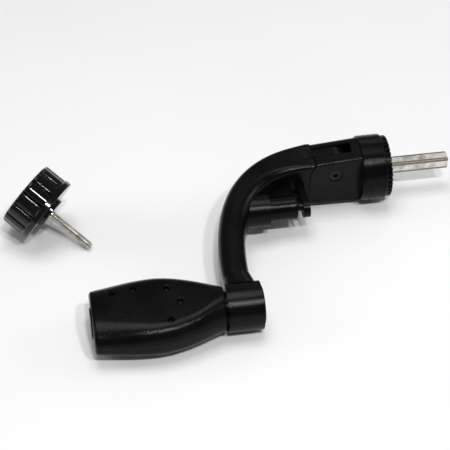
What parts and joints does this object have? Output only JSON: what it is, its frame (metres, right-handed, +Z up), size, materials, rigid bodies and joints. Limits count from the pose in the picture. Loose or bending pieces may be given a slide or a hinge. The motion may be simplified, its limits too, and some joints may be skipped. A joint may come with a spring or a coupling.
{
  "type": "folding reel handle",
  "caption": "Folding crank handle for a fishing reel, with a spinning paddle knob, square drive shaft and separate screw cap.",
  "frame": {"origin": "on the drive shaft's axis in the plane of the seat ring's face", "axes": "+X along the drive shaft, away from the arm; -Y from the shaft towards the knob; +Z up, with the handle lying on its side"},
  "size_m": [0.1285, 0.0687, 0.0214],
  "materials": {
    "black_paint": "satin black painted zinc and aluminium",
    "black_moulding": "satin black moulding with fine grain",
    "soft_black": "matt black rubberised grip",
    "gloss_black": "gloss black moulding",
    "plated_steel": "bright nickel plate",
    "plain_steel": "plain turned steel",
    "black_steel": "oil-blackened steel",
    "nylon": "natural nylon"
  },
  "bodies": {
    "drive_unit": {"drive_shaft": "plated_steel", "shaft_cross_pin": "plain_steel", "seat_ring": "black_moulding", "collar": "black_moulding", "fork_block": "black_paint", "fold_pin": "black_steel", "fold_pin_clip": "black_steel", "fork_washers": "nylon"},
    "arm": {"crank_arm": "black_paint", "boss_cover": "black_moulding", "plunger_spring": "plain_steel", "knob_spindle": "plain_steel", "knob_washer": "black_moulding", "knob_screw": "plain_steel", "knob_screw_washer": "plain_steel"},
    "lock": {"lock_plunger": "black_moulding", "thumb_tab": "black_moulding"},
    "knob": {"knob_body": "soft_black", "knob_bush_inner": "nylon", "knob_bush_outer": "nylon", "knob_end_cap": "black_moulding"},
    "screw_cap": {"cap_head": "gloss_black", "cap_stud": "plated_steel"}
  },
  "joints": [
    {"name": "arm_fold", "type": "hinge", "parent": "drive_unit", "child": "arm", "pos_m": [-0.016, -0.00018, 0.00289], "axis": [0, 0.9982, 0.0604], "range_deg": [0, 90]},
    {"name": "lock_slide", "type": "slide", "parent": "arm", "child": "lock", "axis": [-1, 0, 0], "range_m": [0, 0.0015], "stiffness_N_per_m": 300, "springref_m": -0.003, "deforming": ["plunger_spring"]},
    {"name": "knob_spin", "type": "hinge", "parent": "arm", "child": "knob", "pos_m": [-0.0544, -0.04791, -0.0029], "axis": [1, 0, 0], "continuous": true},
    {"name": "cap_lift", "type": "slide", "parent": "drive_unit", "child": "screw_cap", "axis": [0, 0, 1], "range_m": [0, 0.05]}
  ]
}
